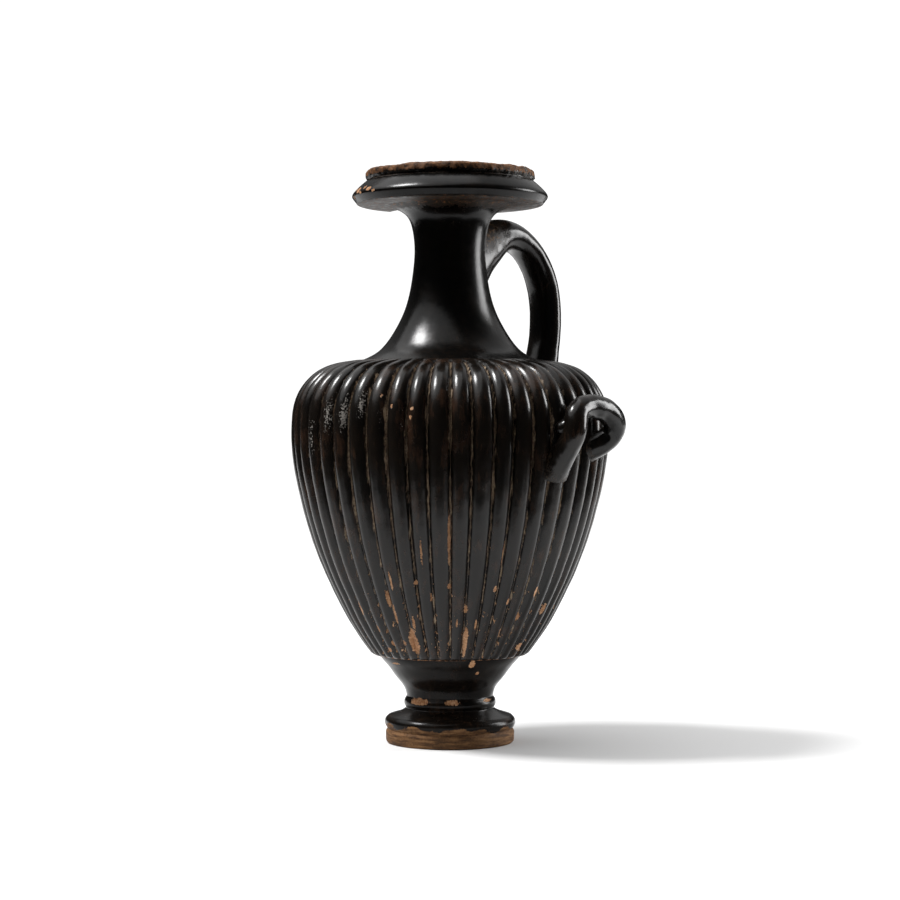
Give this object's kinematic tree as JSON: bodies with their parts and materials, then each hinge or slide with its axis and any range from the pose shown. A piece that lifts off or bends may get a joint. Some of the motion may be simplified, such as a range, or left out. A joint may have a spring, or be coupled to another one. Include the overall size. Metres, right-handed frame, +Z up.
{
  "type": "miniature hydria",
  "caption": "Small ribbed black-glazed water jar in one fired piece, with a moulded foot, two loop handles on the belly and an upright handle behind the neck.",
  "frame": {"origin": "on the jar's axis, at the plane that its foot rests on", "axes": "+Z up along the jar's axis, one side handle on +X, the back handle 81 degrees from it, near +Y, and the other side handle at 162 degrees"},
  "size_m": [0.0993, 0.0832, 0.1507],
  "materials": {
    "black_glaze": "dark semi-gloss clay slip, worn to tan clay on the ribs, lip and foot"
  },
  "bodies": {
    "root": {"hydria": "black_glaze"}
  },
  "joints": []
}
